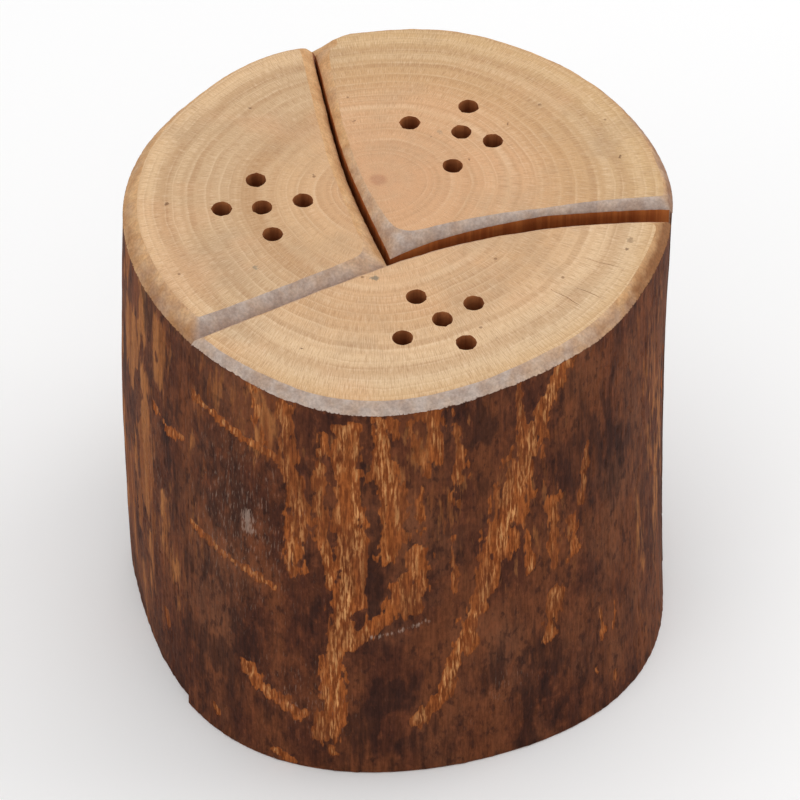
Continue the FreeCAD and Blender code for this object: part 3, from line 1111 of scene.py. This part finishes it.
def bark_recipe(t):
    """Rubbed dark bark, worn ochre in places and scraped to orange inner bark with pale
    strands, which are painted highlights on the fibres."""
    grain = t.use(LONG_GRAIN, Fineness=1.0)
    streak = grain["Streak"]
    chips = t.cloud(300.0, 4.0, 0.6, drawn=(1, 1, 0.5))
    masks = {}
    for name, scale, softness in (
        ("ochre", 400.0, 0.6), ("dark", 300.0, 0.7),
        ("scrape", 750.0, 0.45), ("chalk_and_light", 1300.0, 0.5),
    ):
        mask = t.use(BROKEN_MASK, Amount=t.attribute(name), Scale=scale, Softness=softness)
        masks[name] = mask["Mask"]
    ochre = t.blend(t.ease(streak, 0.36, 0.62), (120, 66, 34), (164, 106, 60))
    strands = t.cloud(1150.0, 3.0, 0.6, drawn=(1, 1, 0.11))
    orange = t.blend(t.ease(strands, 0.36, 0.62), (117, 60, 29), (160, 90, 44))
    rubbed = t.ease(t.cloud(70.0, 4.0, drawn=(1, 1, 0.4)), 0.36, 0.6, 0.5, 0.95)
    bared = t.times(masks["scrape"], rubbed)
    # Painted highlights: the pale strands where the bark is scraped
    pale = t.times(t.attribute("pale"), t.ease(strands, 0.46, 0.62), bared)
    blotch = t.cloud(48.0, 5.0, 0.6, drawn=(1, 1, 0.45))
    colour = t.coats(
        t.blend(t.ease(blotch, 0.38, 0.62), (72, 39, 27), (103, 58, 35)),
        ((124, 80, 56), t.cloud(19.0, 4.0, 0.6, drawn=(1, 1, 0.6)), 0.4, 0.48, 0.7),
        ((122, 68, 42), chips, 0.4, 0.52, 0.66),
        ((42, 24, 21), chips, 0.6, 0.47, 0.34),
        ((112, 60, 36), streak, 0.24, 0.48, 0.68),
        (ochre, masks["ochre"], 0.85),
        ((44, 26, 22), masks["dark"], 0.65),
        (orange, masks["scrape"], rubbed),
        # The painted highlight on the scraped fibres
        ((208, 152, 98), pale, 0.85),
        # Chalky rubs and broad patches, the patches partly painted light
        ((178, 152, 136), masks["chalk_and_light"], 0.5),
    )
    grit = t.times(t.cloud(800.0, 3.0, 0.65, drawn=(1, 1, 0.4)), 0.5)
    rough = t.ease(t.scaled(grain["Fibre"], 0.5, grit), 0.36, 0.64)
    height = t.scaled(streak, 0.8, grain["Fibre"])
    return {
        **t.surface(t.grade(colour, rough, 0.78, 1.22), height, 0.6, 0.0007),
        "Roughness": t.ease(masks["scrape"], 0.0, 1.0, 0.72, 0.86),
        "Specular IOR Level": 0.06,
    }


def bark_edge_recipe(t):
    """The bark's cut edge: dark only at its outermost skin, bevelled wood inside."""
    wood, cut = bevel_colour(t)
    skin = t.use(BROKEN_MASK, Amount=t.attribute("edge"), Scale=900.0, Softness=0.4)
    below = t.ease(t.axes(t.place)[2], (LOG_TOP - 10.0) * MM, (LOG_TOP - 18.0) * MM)
    colour = t.blend(skin["Mask"], (84, 50, 34), t.blend(below, wood, (118, 64, 32)))
    return t.surface(colour, cut, 0.3, 0.0004)


BLOCK_SIDES = [
    new_material("Bevelled wood", 0.8, bevel_recipe),
    new_material("Sawn side", 0.82, sawn_recipe),
    new_material("Bored wall", 0.85, bore_recipe),
]
BARK_SIDES = [
    new_material("Bark", 0.8, bark_recipe),
    new_material("Bark, cut edge", 0.8, bark_edge_recipe),
]
for number, name in enumerate(SEGMENTS):
    top = new_material("End grain " + name, 0.72, top_recipe, name)
    wood_block(name, [top] + BLOCK_SIDES, 100 + 50 * number)
    bark_shell(name, BARK_SIDES, 400 + 50 * number)


# --- Floor, light and camera

def floor():
    """A pale matt floor just under the log, 16 m across."""
    mesh = bpy.data.meshes.new("floor")
    corners = [(8.0 * x, 8.0 * y, -0.0003) for x, y in ((-1, -1), (1, -1), (1, 1), (-1, 1))]
    mesh.from_pydata(corners, [], [(0, 1, 2, 3)])
    pale = {"Base Color": (0.97, 0.97, 0.97, 1.0)}
    mesh.materials.append(new_material("Pale floor", 0.9, lambda t: pale))
    return new_object("floor", mesh)


def soft_light(name, place, aim, size, watts):
    """A square white area light turned to its aim."""
    data = bpy.data.lights.new(name, "AREA")
    data.shape, data.size, data.energy = "SQUARE", size, watts
    obj = new_object(name, data)
    obj.location = place
    obj.rotation_euler = (Vector(aim) - Vector(place)).to_track_quat("-Z", "Y").to_euler()
    return obj


def camera(aim, distance, elevation, lens):
    """A long-lens camera in front of the log, raised by the elevation in degrees."""
    data = bpy.data.cameras.new("camera")
    data.lens, data.sensor_width, data.clip_end = lens, 36.0, 50.0
    obj = new_object("camera", data)
    up = math.radians(elevation)
    across, back, rise = aim
    obj.location = (across, back - distance * math.cos(up), rise + distance * math.sin(up))
    obj.rotation_euler = (math.radians(90.0 - elevation), 0.0, 0.0)
    bpy.context.scene.camera = obj


middle = (0.0, 0.0, 0.11)
stage = [
    floor(),
    soft_light("overhead", (-0.2, 0.1, 2.4), middle, 1.8, 11.0),
    soft_light("front left", (-1.6, -1.7, 1.2), middle, 1.4, 6.0),
    soft_light("right fill", (1.7, 0.5, 1.5), middle, 1.4, 10.5),
]
world = bpy.data.worlds.new("soft white")
world.use_nodes = True
background = world.node_tree.nodes["Background"].inputs
background["Color"].default_value = (1.0, 1.0, 1.0, 1.0)
background["Strength"].default_value = 0.74
bpy.context.scene.world = world
bpy.context.scene.view_settings.view_transform = "Standard"
camera((0.00148, -0.00252, 0.107), 1.904, 45.0, 203.05)
